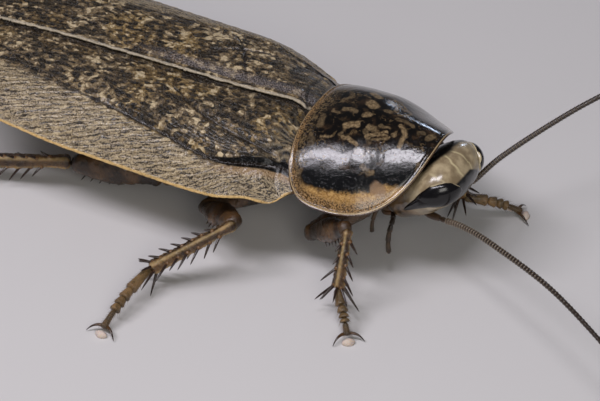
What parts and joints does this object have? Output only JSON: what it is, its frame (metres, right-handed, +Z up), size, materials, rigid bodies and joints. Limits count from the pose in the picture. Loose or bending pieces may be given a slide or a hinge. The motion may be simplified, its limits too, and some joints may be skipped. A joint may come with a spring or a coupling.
{
  "type": "speckled cockroach",
  "caption": "Life-size still model of a speckled cockroach standing with wings folded, feelers spread and legs braced on small flat pads.",
  "frame": {"origin": "centre of the bounding box's bottom face, on the floor under the toe pads", "axes": "+X from the tail towards the head, +Y to the animal's left, +Z up from the floor"},
  "size_m": [0.044, 0.0262, 0.0091],
  "materials": {
    "shield": "glossy dark brown cuticle with tan marks and an ochre margin",
    "wing": "satin grey-brown cuticle, speckled dark brown and cream",
    "head": "glossy olive-tan cuticle with black bands",
    "eye": "glossy black",
    "skin": "satin amber-brown cuticle",
    "abdomen": "satin brown cuticle with darker spots",
    "feeler": "dark brown, finely ringed",
    "palp": "brown, finely haired",
    "leg": "amber-brown cuticle with dark spines"
  },
  "bodies": {
    "root": {"abdomen": "abdomen", "cercus_left": "palp", "cercus_right": "palp", "eye_left": "eye", "eye_right": "eye", "feeler_left_base": "feeler", "feeler_left_far_half": "feeler", "feeler_left_near_half": "feeler", "feeler_right_base": "feeler", "feeler_right_far_half": "feeler", "feeler_right_near_half": "feeler", "fore_left_coxa": "leg", "fore_left_femur": "leg", "fore_left_tarsus": "leg", "fore_left_tibia": "leg", "fore_right_coxa": "leg", "fore_right_femur": "leg", "fore_right_tarsus": "leg", "fore_right_tibia": "leg", "head": "head", "hind_left_coxa": "leg", "hind_left_femur": "leg", "hind_left_tarsus": "leg", "hind_left_tibia": "leg", "hind_right_coxa": "leg", "hind_right_femur": "leg", "hind_right_tarsus": "leg", "hind_right_tibia": "leg", "labrum": "skin", "mesothorax": "skin", "metathorax": "skin", "mid_left_coxa": "leg", "mid_left_femur": "leg", "mid_left_tarsus": "leg", "mid_left_tibia": "leg", "mid_right_coxa": "leg", "mid_right_femur": "leg", "mid_right_tarsus": "leg", "mid_right_tibia": "leg", "palp_left": "palp", "palp_right": "palp", "pronotum": "shield", "prothorax": "skin", "wing_left": "wing", "wing_right": "wing"}
  },
  "joints": []
}
